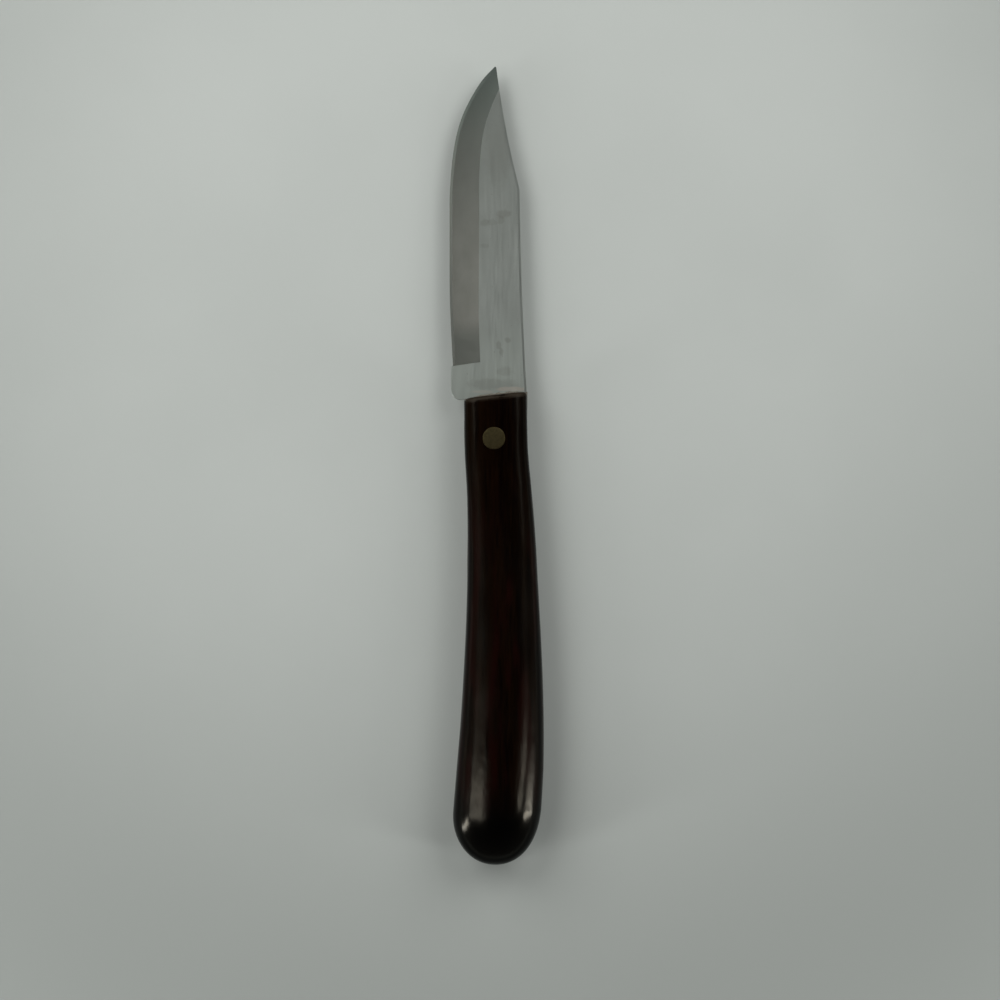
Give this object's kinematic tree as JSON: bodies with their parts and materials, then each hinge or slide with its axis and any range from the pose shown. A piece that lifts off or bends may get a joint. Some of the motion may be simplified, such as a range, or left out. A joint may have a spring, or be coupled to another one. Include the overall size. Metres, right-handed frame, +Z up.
{
  "type": "paring knife",
  "caption": "Small kitchen knife: hollow-ground clip-point steel blade, heel left unsharpened, half tang riveted and cemented into a one-piece swelling wooden handle.",
  "frame": {"origin": "middle of the knife's bounding box at the level of the surface it lies on", "axes": "+Y from the butt to the tip, +X from the cutting edge to the spine, +Z up; the knife lies on its side"},
  "size_m": [0.021, 0.1778, 0.0149],
  "materials": {
    "steel": "satin, hollow grind a little darker, faint kitchen stains",
    "rosewood": "oiled and worn glossy",
    "brass": "tarnished",
    "cement": "matte"
  },
  "bodies": {
    "root": {"blade": "steel", "handle": "rosewood", "rivet_socket": "brass", "rivet_post": "brass", "tang_cement": "cement"}
  },
  "joints": []
}
